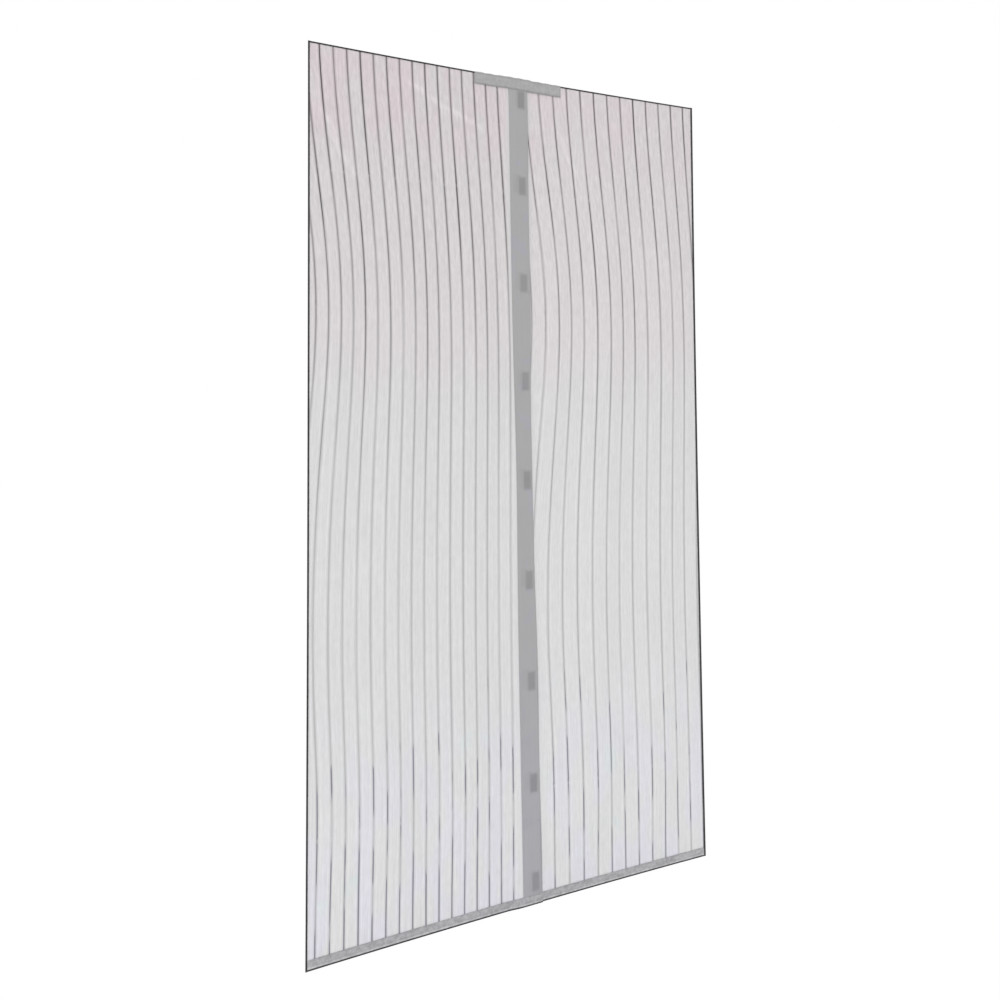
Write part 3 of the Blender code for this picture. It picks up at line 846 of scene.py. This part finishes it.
def woven_wander(along, seed):
    """A small unevenness of a woven edge, from -1 to 1: three sines of lengths that don't fit together."""
    waves = ((0.071, 1.0, 1.0), (0.023, 0.7, 2.3), (0.0091, 0.4, 4.1))  # length, size, turn
    total = sum(size * np.sin(along * 2 * np.pi / length + turn * seed) for length, size, turn in waves)
    return total / sum(size for _, size, _ in waves)


def open_edge_wanders(away, height, along, seed):
    """A folded tape's places away from its fold, the open edge's half of them moved a little."""
    return away + WANDER * woven_wander(along, seed) * ease((away / height - 0.5) * 2)


def turned_up(high):
    """How proud of the hem its turned-up lower strip stands at a height above its foot."""
    return HEM_STEP * ease((HEM_STEP_AT + HEM_STEP_SOFT / 2 - high) / HEM_STEP_SOFT)


def level_piece(name, side, ends, depth, base, direction, height, seed, hem=False):
    """A folded tape across the screen: the section's depth goes into Y and its height up or down from
    base, along X, following the left panel's step forward. Its open edge wanders a little, and the lower
    part of a hem's front leaf stands proud, as a turned-up strip does."""
    section = fold_section(depth, height, HEM_LEAF if hem else OPEN_LEAF)
    across, away = section[:, :1], section[:, 1:]
    x = run(*sorted(ends), ALONG_TRIM)[None, :]
    away = open_edge_wanders(away, height, x, seed)
    proud = turned_up(away) * (across < 0) * ease(away / 0.002) if hem else 0.0
    y = PLANE - step_forward(side, x, base) + across - proud
    rubbed = 1 - ease(away / TRIM_RUB)
    uv = (x, away) if hem else (away, x)
    return cloth(name, (x, y, base + direction * away), LEAF, uv, {"rubbed": rubbed})


def side_trim(panel):
    """The folded trim down the outer side: the section's height goes in from the side, along Z."""
    width = trim_width(panel.side)
    across, away = fold_section(FOLD, width, OPEN_LEAF).T[:, None, :]
    z = run(FOOT, TOP, DOWN_TRIM)[:, None]
    away = open_edge_wanders(away, width, z, 1.0 + panel.side)
    middle, rubbed = (panel.side * (SIDE - away), PLANE + across, z), 1 - ease(away / TRIM_RUB)
    mesh = cloth(f"{panel.word}_side_trim", middle, LEAF, (away, z), {"rubbed": rubbed})
    return piece(mesh, TRIM, "binding", f"{panel.word}_side_binding")


def tape_edges_at_foot():
    """How far foot trims and hems reach: past the tapes, and up to them."""
    return tape_edge(1, FOOT), tape_edge(-1, FOOT + HEM_HEIGHT) - GAP


def edge_pieces(panel):
    """Trims along the top, the outer side and the foot of one panel, and its hem."""
    side, word = panel.side, panel.word
    outer = side * (SIDE - trim_width(side) - GAP)
    past, before = tape_edges_at_foot()
    top_run = (outer, tape_edge(side, TOP) + side * GAP)
    hem_run = (outer, before if side < 0 else past + GAP)
    foot_run = (outer, past if side < 0 else past + GAP)
    top = level_piece(f"{word}_top_trim", side, top_run, FOLD, TOP, -1, TRIM_WIDTH, 2.0 + side)
    foot = level_piece(f"{word}_foot_trim", side, foot_run, FOOT_FOLD, FOOT, 1, TRIM_WIDTH, 5.0 + side)
    hem = level_piece(f"{word}_hem", side, hem_run, HEM_FOLD, HEM_FOOT, 1, HEM_HEIGHT, 3.0 + side, hem=True)
    return [
        piece(top, TRIM, "binding", f"{word}_top_binding"),
        piece(foot, TRIM, "binding", f"{word}_foot_binding"),
        piece(hem, HEM, "tape", f"{word}_hem_tape"),
        side_trim(panel),
    ]


# ---------------------------------------------------------------------- centre tapes

# How strongly each magnet shows through, from the top down, in its own tape and through the left one
OWN_PRINT = (1.0, 0.9, 0.85, 0.8, 0.9, 0.85, 0.9, 1.0, 0.9)
PARTNER_PRINT = (0.05, 0.22, 0.15, 0.10, 0.12, 0.15, 0.12, 0.12, 0.06)
# Painted shadow lines along the tapes' free edges, low down: (strength, drop, spread)
FREE_EDGE_SHADOWS = ((0.8, 1.96, 0.08), (0.5, 1.60, 0.05))
POCKET = MAGNET_WIDTH / 2 + POCKET_BORDER
# Rows of the tapes: even ones, the close ones over the ends of pockets, and the least between two
TAPE_ROW, END_ROWS, LEAST_ROW = 0.008, np.linspace(-0.003, 0.003, 7), 0.0004


def box_mask(across, z, middle, level, border, soft):
    """One inside a magnet's rectangle, grown by a border, and 0 outside, easing over a soft width."""
    wide = ease((MAGNET_WIDTH / 2 + border + soft / 2 - np.abs(across - middle)) / soft)
    tall = ease((MAGNET_HEIGHT / 2 + border + soft / 2 - np.abs(z - level)) / soft)
    return wide * tall


def tape_rows(side):
    """Levels of a tape's rows: even ones, and close ones over the ends of each pocket."""
    foot = FOOT + (LEAF + GAP if side < 0 else TAPE_FOOT_CLEAR)
    reach = MAGNET_HEIGHT / 2 + 0.0015
    close = (MAGNET_LEVELS[:, None] + (-reach, reach))[..., None] + END_ROWS
    levels = np.concatenate([run(foot, TOP, TAPE_ROW), close.ravel()])
    levels = np.unique(np.round(levels[(levels >= foot) & (levels <= TOP)], 5))
    return levels[np.concatenate([[True], np.diff(levels) > LEAST_ROW])]


def tape_front(across, z):
    """How far a tape's pocket leaf stands off its middle: half the fold, plus the rise of the pockets
    with soft borders."""
    border = soft = POCKET_BORDER
    pockets = sum(box_mask(across, z, MAGNET_OFFSET, level, border, soft) for level in MAGNET_LEVELS)
    return (FOLD - LEAF) / 2 + POCKET_RISE * pockets


def edge_wave(side, across, z):
    """The free edge wanders: a long sine and a short one, fading out before the pockets."""
    wave = TAPE_EDGE_WAVE * np.sin(2 * np.pi * TAPE_EDGE_WAVES * fallen(z))
    wave = wave + TAPE_EDGE_WANDER * woven_wander(z, 7.0)
    return wave * ease((across - 0.0205) / 0.004) if side < 0 else 0 * z


def on_leaf(across, z):
    """Where a place across a tape's pocket leaf comes to lie when the tape narrows: the pockets stay, and
    the cloth on both sides of them draws in."""
    near, still = TAPE_WIDTH / 2 - FOLD / 2, MAGNET_WIDTH / 2 + POCKET_STILL
    places = [-TAPE_WIDTH / 2, MAGNET_OFFSET - still, MAGNET_OFFSET + still, near]
    return across + tape_narrows(z) * np.interp(across, places, [1.0, 0.0, 0.0, -1.0])


def tape_y(side, deep):
    """The tapes' depths: a place so deep in a tape, whose left one lies a lap in front."""
    return PLANE - (LAP if side < 0 else 0.0) - side * deep


def centre_tape(panel):
    """A tape's section goes from the net's side along the pocket leaf, round the half circle of its free
    edge and back along the flat leaf. The pockets rise towards the viewer on the left tape and towards
    the back on the right one."""
    side = panel.side
    half, turn = TAPE_WIDTH / 2, (FOLD - LEAF) / 2
    near = half - LEAF / 2 - turn
    low, high = MAGNET_OFFSET - POCKET, MAGNET_OFFSET + POCKET
    close = np.linspace(-0.0012, 0.0012, 5)
    leaf = [
        np.linspace(-half, low - 0.0018, 10),
        low + close,
        np.linspace(low + 0.003, high - 0.003, 8),
        high + close,
        np.linspace(high + 0.0024, near, 3),
    ]
    leaf = np.concatenate(leaf)
    angle = np.radians(np.linspace(-90, 90, 9))[1:-1]
    flat = np.linspace(near, -half, 14)
    across = np.concatenate([leaf, near + turn * np.cos(angle), flat])[None, :]
    deep = np.concatenate([np.zeros(len(leaf)), turn * np.sin(angle), np.full(len(flat), turn)])[None, :]
    z = tape_rows(side)[:, None]
    pocket_leaf = np.arange(across.shape[1])[None, :] < len(leaf)
    deep = np.where(pocket_leaf, -tape_front(across, z), deep)
    path = np.cumsum(np.abs(np.diff(across[0])) + np.abs(np.diff(deep[0])))
    path = np.concatenate([[0.0], path])[None, :]
    on_flat = across + tape_narrows(z) * np.interp(across, [-half, near], [1.0, -1.0])
    narrowed = np.where(pocket_leaf, on_leaf(across, z), on_flat)
    x = tape_middle(z) - side * (narrowed + edge_wave(side, across, z))
    # A painted shadow line along the free edge, low down, carried with the magnet print
    free_edge_shadow = sum(strength * bell((TOP - z - drop) / spread) for strength, drop, spread in FREE_EDGE_SHADOWS)
    free_edge_shadow = free_edge_shadow * ease((across - half + 0.0055) / 0.004)
    values = {
        "magnet_print": np.where(pocket_leaf, magnet_print(side, across, z) + free_edge_shadow, 0.0),
        "rubbed": 1 - ease((half - np.abs(across)) / 0.0015),
    }
    mesh = cloth(f"{panel.word}_tape_cloth", (x, tape_y(side, deep), z), LEAF, (path, z), values)
    return piece(mesh, TAPE, "tape", f"{panel.word}_centre_tape")


def magnet_print(side, across, z):
    """Where magnets darken the cloth: soft rectangles over the tape's own magnets and, on the left tape,
    fainter ones over the right one's, which lie as far to the other side of the middle line."""
    own = sum(
        strength * box_mask(across, z, MAGNET_OFFSET, level, 0.0, 0.006)
        for strength, level in zip(OWN_PRINT, MAGNET_LEVELS)
    )
    if side > 0:
        return own
    partner = sum(
        strength * box_mask(across, z, -MAGNET_OFFSET, level + 0.006, 0.0, 0.005)
        for strength, level in zip(PARTNER_PRINT, MAGNET_LEVELS)
    )
    return own + partner * (1 - np.clip(own, 0, 1))


def hem_cover():
    """The strip that carries the hem across the foot of the centre tapes, in front of the left one."""
    z = run(FOOT + TRIM_WIDTH + 0.0002, HEM_FOOT + HEM_HEIGHT, 0.002)[:, None]
    x = run(tape_edge(-1, FOOT) - 0.005, tape_edge(1, FOOT) + 0.0005, 0.004)[None, :]
    high = z - HEM_FOOT
    y = PLANE - LAP - HEM_FOLD / 2 - GAP - LEAF / 2 - turned_up(high)
    return piece(cloth("hem_cover", (x, y, z), LEAF, (x, high)), HEM, "tape")


def band_middle(x):
    """Middle surface of the closure band: over the left panel and its tape, then down to the right."""
    free = tape_edge(-1, TOP) + TAPE_WIDTH - 2 * tape_narrows(TOP) + TAPE_EDGE_WAVE + BAND
    forward = step_forward(-1, x, TOP) - LAP * ease((x - free) / BAND_RUN)
    return PLANE - FOLD / 2 - GAP - BAND / 2 - forward


def band_piece():
    """The closure band, BAND thick. Its upper edge is a little ragged: short uneven steps up and down."""
    x = run(BAND_LEFT, BAND_RIGHT, 0.0018)[None, :]
    up = np.linspace(0.0, 1.0, 15)[:, None]
    ragged = BAND_RAGGED * woven_wander(x * 2.6, 9.0) * ease((up - 0.8) / 0.2)
    z = TOP - BAND_HEIGHT * (1 - up) + ragged
    mesh = cloth("band_cloth", (x, band_middle(x), z), BAND, (x, z))
    return piece(mesh, BAND_TAPE, "tape", "closure_band")


def loop_strips(panel):
    """Loop tapes on the back of a panel: flat strips across the top and down the outer side."""
    side, half = panel.side, FIXING_WIDTH / 2
    end, foot = SIDE - FIXING_END, FOOT + SIDE_FIXING_ABOVE_FOOT
    made = []
    for word, inner, low, high in (
        ("top", TOP_LOOP_CLEAR, -half, half),
        ("side", end - FIXING_WIDTH, foot, -half - GAP),
    ):
        x = run(*sorted((side * inner, side * end)), 0.002 if word == "side" else 0.006)[None, :]
        z = run(low, high, 0.002 if word == "top" else 0.006)[:, None]
        middle = (x, -(HOOK + GAP + LOOP / 2), z)
        mesh = cloth(f"{panel.word}_{word}_loops", middle, LOOP, (x, z), hung=False)
        made.append(piece(mesh, LOOP_PILE, "loop_tape", f"{panel.word}_{word}_loop_tape"))
    return made


# ---------------------------------------------------------------------- sewing

STITCH_SIDES, STITCH_RING_AT = 5, 0.32
STATION, FINE_STATION = 0.002, 0.001
TAPE_SEAMS = (0.0024, 0.0026)
POCKET_SEAM = (0.0030, 0.0036)
TRIM_SEAM = 0.0012
HEM_SEAM, HEM_STEP_SEAM = 0.002, 0.0022
LOOP_SEAMS = (0.0018, 0.0015)
BAND_SEAM, BAND_TOP_SEAM = 0.0025, 0.0030


def stitches(name, rows, thread, slot):
    """Rows of stitches. Each stitch is a rounded bar: a ring of five points near each end and a point at
    the tip, laid along the row's direction and half sunk into the cloth."""
    angle = np.linspace(0, 2 * np.pi, STITCH_SIDES, endpoint=False)
    ring = np.stack([0 * angle, np.cos(angle) / 2, np.sin(angle) / 2], axis=1)
    reach = (STITCH_RING_AT, 0, 0)
    shape = np.concatenate([[[-0.5, 0, 0]], ring - reach, ring + reach, [[0.5, 0, 0]]])
    near = np.arange(1, STITCH_SIDES + 1)
    after, far = np.roll(near, -1), near + STITCH_SIDES
    tip = np.full(STITCH_SIDES, len(shape) - 1)
    quads = np.stack([near, after, after + STITCH_SIDES, far], axis=1)
    tips = np.stack([0 * near, after, near], axis=1), np.stack([tip, far, after + STITCH_SIDES], axis=1)
    along, out, centre = (np.concatenate(part) for part in zip(*rows))
    centre = pulled_in(centre)
    along = along / np.linalg.norm(along, axis=1, keepdims=True)
    across = np.cross(out, along)
    across /= np.linalg.norm(across, axis=1, keepdims=True)
    size = shape * (STITCH, STITCH_THICK, STITCH_THICK)
    axes = np.stack([along, across, np.cross(along, across)], axis=1)
    points = (centre[:, None] + size @ axes).reshape(-1, 3)
    first = len(shape) * np.arange(len(centre))[:, None, None]
    faces = (first + quads).reshape(-1, 4).tolist() + (first + np.concatenate(tips)).reshape(-1, 3).tolist()
    uv = np.tile(size[:, :2], (len(centre), 1))
    return piece(mesh_of(name, points, faces, uv, hung=False, sharp=False), thread, slot)


def row_along(line, facing):
    """A row of stitches along a line of many points: (direction, outward, centre) at every pitch."""
    length = np.concatenate([[0.0], np.cumsum(np.linalg.norm(np.diff(line, axis=0), axis=1))])
    spots = np.arange(STITCH_PITCH / 2, length[-1] - STITCH_PITCH / 4, STITCH_PITCH)
    centre, ahead, behind = (
        np.stack([np.interp(spots + shift, length, line[:, i]) for i in range(3)], axis=1)
        for shift in (0.0, 0.0005, -0.0005)
    )
    return ahead - behind, np.broadcast_to([0.0, float(facing), 0.0], centre.shape), centre


def tape_stitches(panel):
    """Rows down both edges of a tape and round each pocket, on the side that the pockets rise to."""
    side, half = panel.side, TAPE_WIDTH / 2

    def on_tape(across, z):
        x = tape_middle(z) - side * (on_leaf(across, z) + edge_wave(side, across, z))
        return at(x, tape_y(side, -tape_front(across, z) - LEAF / 2), z)

    foot = FOOT + STATION + (HEM_HEIGHT if side < 0 else TAPE_FOOT_CLEAR)
    top = TOP - (BAND_HEIGHT + 0.001 if side < 0 else STATION)
    z = run(foot, top, FINE_STATION)
    lines = [on_tape(0 * z - half + TAPE_SEAMS[0], z), on_tape(0 * z + half - TAPE_SEAMS[1], z)]
    wide, tall = MAGNET_WIDTH / 2 + POCKET_SEAM[0], MAGNET_HEIGHT / 2 + POCKET_SEAM[1]
    t, corners = run(0, 4, 0.02), range(5)
    across = MAGNET_OFFSET + wide * np.interp(t, corners, [-1, 1, 1, -1, -1])
    for level in MAGNET_LEVELS:
        height = level + tall * np.interp(t, corners, [-1, -1, 1, 1, -1])
        line = on_tape(across, height)
        lines.append(line[(height > foot) & (height < top)] if side < 0 else line)
    rows = [row_along(line, side) for line in lines if len(line) > 5]
    return stitches(f"{panel.word}_tape_stitches", rows, GREY_THREAD, "tape")


def edge_stitches(panel):
    """Dark rows along the trims, front and back, and grey rows along the hem's upper edge and its step."""
    side, word = panel.side, panel.word
    past, before = tape_edges_at_foot()
    outer = side * (SIDE - trim_width(side) - 0.001)
    ends = (
        tape_edge(side, TOP) + side * 0.002,
        past - 0.002 if side < 0 else past + 0.002,
        before - 0.006 if side < 0 else past + 0.003,
    )
    top_x, foot_x, hem_x = (run(*sorted((outer, end)), STATION) for end in ends)
    dark, hem = [], []
    level_rows = (
        (dark, top_x, TOP, TOP - TRIM_WIDTH + TRIM_SEAM, FOLD),
        (dark, foot_x, FOOT, FOOT + TRIM_WIDTH - TRIM_SEAM, FOOT_FOLD),
        (hem, hem_x, HEM_FOOT, HEM_FOOT + HEM_HEIGHT - HEM_SEAM, HEM_FOLD),
        (hem, hem_x, HEM_FOOT, HEM_FOOT + HEM_STEP_AT + HEM_STEP_SEAM, HEM_FOLD),
    )
    z = run(FOOT + STATION, TOP - STATION, STATION)
    x_side = side * (SIDE - trim_width(side) + TRIM_SEAM)
    for facing in (-1, 1):
        dark.append(row_along(at(x_side, PLANE + facing * FOLD / 2, z), facing))
        for rows, x, base, level, depth in level_rows:
            y = PLANE - step_forward(side, x, base) + facing * depth / 2
            rows.append(row_along(at(x, y, level), facing))
    return [
        stitches(f"{word}_trim_stitches", dark, DARK_THREAD, "binding"),
        stitches(f"{word}_hem_stitches", hem, GREY_THREAD, "tape"),
    ]


def fixing_stitches(panel):
    """Pale rows on the front of the net where the loop tapes are sewn on behind it."""
    side, half = panel.side, FIXING_WIDTH / 2
    ends = (side * (TOP_LOOP_CLEAR + STATION), side * (SIDE - trim_width(side) - STATION))
    x = run(*sorted(ends), STATION)
    keep = (x < BAND_LEFT - 0.001) | (x > BAND_RIGHT + 0.001)
    z = run(FOOT + SIDE_FIXING_ABOVE_FOOT + STATION, -half - STATION, STATION)
    x, level = laid_flat(x, -half + LOOP_SEAMS[1])
    line_x, z = laid_flat(side * (SIDE - FIXING_END - FIXING_WIDTH + LOOP_SEAMS[0]), z)
    rows = [
        row_along(at(x, net_y(panel, x, level) - NET / 2, level)[keep], -1),
        row_along(at(line_x, net_y(panel, line_x, z) - NET / 2, z), -1),
    ]
    return stitches(f"{panel.word}_fixing_stitches", rows, PALE_THREAD, "net")


def band_stitches():
    """A row round the closure band, two and a half millimetres inside its edges."""
    low, high = TOP - BAND_HEIGHT + BAND_SEAM, TOP - BAND_TOP_SEAM
    left, right = BAND_LEFT + BAND_SEAM, BAND_RIGHT - BAND_SEAM
    x, z = run(left, right, STATION), run(low, high, FINE_STATION)
    lines = [(x, low), (x, high), (left, z), (right, z)]
    rows = [row_along(at(x, band_middle(np.asarray(x)) - BAND / 2, z), -1) for x, z in lines]
    return stitches("band_stitches", rows, GREY_THREAD, "tape")


# ---------------------------------------------------------------------- putting it together


def panel_pieces(panel):
    """All the cloth of one panel: its net with what is sewn to it."""
    net = net_piece(panel)
    sewn = [stripe_piece(panel), centre_tape(panel), tape_stitches(panel), fixing_stitches(panel)]
    sewn += edge_pieces(panel) + edge_stitches(panel) + loop_strips(panel)
    if panel.side < 0:
        sewn += [hem_cover(), band_piece(), band_stitches()]
    ends = [net_edges(panel.side, z) for z in (NET_TOP, NET_FOOT)]
    widths = [high - low for low, high in ends]
    length = NET_TOP - NET_FOOT
    sum(widths) / 2 * length


for panel in (LEFT, RIGHT):
    panel_pieces(panel)

for node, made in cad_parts.items():
    for word, coat in (("magnet", RUBBER), ("weight", STEEL), ("hook_tape", HOOKS)):
        if word in node and not made.hide_render:
            made.data.materials.clear()
            made.data.materials.append(coat)


# ---------------------------------------------------------------------- floor, light and camera

FLOOR_DROP, FLOOR_REACH, FLOOR_TONE = 0.010, 14.0, 252
SEEN_PLAIN, SEEN_STRENGTH = 0.92, 1.022
WORLD_STRENGTH = 0.88
LENS, SENSOR, SHIFT = 29.621, 36.0, -0.1320
CAMERA_PLACE, CAMERA_TURNS = (-0.9321, -1.8937, -0.8335), (-24.646, 90 + 2.578, -0.440)
LAMP_PLACE, SCREEN_MIDDLE, LAMP_SIZE, LAMP_WATTS = (-2.4, -4.6, -0.7), (0.0, 0.0, -1.05), 3.0, 45.0


def seen_directly(tree):
    """One for what the camera sees, in mirrors and through glass too, and 0 for light on things."""
    path = tree.nodes.new("ShaderNodeLightPath").outputs
    words = ("Camera", "Glossy", "Transmission")
    camera, glossy, through = (Value(path[f"Is {word} Ray"]) for word in words)
    return larger(larger(camera, glossy), through)


def floor():
    """A pale square that keeps the screen's shadow, and that the camera sees nearly white."""
    made = bpy.data.materials.new("pale floor")
    made.use_nodes = True
    tree = made.node_tree
    shader = tree.nodes["Principled BSDF"]
    shader.inputs["Base Color"].default_value = grey(FLOOR_TONE)
    shader.inputs["Roughness"].default_value = 0.9
    shader.inputs["Specular IOR Level"].default_value = 0.0
    plain = tree.nodes.new("ShaderNodeEmission")
    plain.inputs["Strength"].default_value = SEEN_STRENGTH
    mix = tree.nodes.new("ShaderNodeMixShader")
    mixed = (seen_directly(tree) * SEEN_PLAIN, shader.outputs[0], plain.outputs[0])
    for value, socket in zip(mixed, mix.inputs):
        feed(value, socket)
    feed(mix.outputs[0], tree.nodes["Material Output"].inputs["Surface"])
    mesh = bpy.data.meshes.new("floor")
    turns = ((-1, -1), (1, -1), (1, 1), (-1, 1))
    corners = [(x * FLOOR_REACH, y * FLOOR_REACH, FOOT - FLOOR_DROP) for x, y in turns]
    mesh.from_pydata(corners, [], [(0, 1, 2, 3)])
    mesh.materials.append(made)
    new_object(mesh)


def lamp():
    """One soft square lamp in front of the screen to the left, turned to its middle."""
    light = bpy.data.lights.new("key", "AREA")
    light.shape, light.size, light.energy = "SQUARE", LAMP_SIZE, LAMP_WATTS
    made = new_object(light)
    ahead = Vector(np.subtract(SCREEN_MIDDLE, LAMP_PLACE))
    made.rotation_euler = ahead.to_track_quat("-Z", "Y").to_euler()
    made.location = LAMP_PLACE


def surroundings():
    """White all round: dimmer as light on things than as the camera sees it."""
    world = bpy.data.worlds.new("studio")
    bpy.context.scene.world = world
    world.use_nodes = True
    sky = world.node_tree.nodes["Background"].inputs
    feed(seen_directly(world.node_tree) * (1.0 - WORLD_STRENGTH) + WORLD_STRENGTH, sky["Strength"])
    feed((1.0, 1.0, 1.0, 1.0), sky["Color"])


def camera():
    """The camera stands low to the left and turns right, with the picture shifted down only."""
    lens = bpy.data.cameras.new("camera")
    lens.lens, lens.sensor_width, lens.shift_y = LENS, SENSOR, SHIFT
    lens.clip_start, lens.clip_end = 0.01, 60.0
    made = new_object(lens)
    turn, tilt, roll = np.radians(CAMERA_TURNS)
    made.matrix_world = (
        Matrix.Translation(CAMERA_PLACE)
        @ Matrix.Rotation(turn, 4, "Z")
        @ Matrix.Rotation(tilt, 4, "X")
        @ Matrix.Rotation(roll, 4, "Z")
    )
    bpy.context.scene.camera = made


floor()
surroundings()
lamp()
camera()
bpy.context.scene.view_settings.view_transform = "Standard"
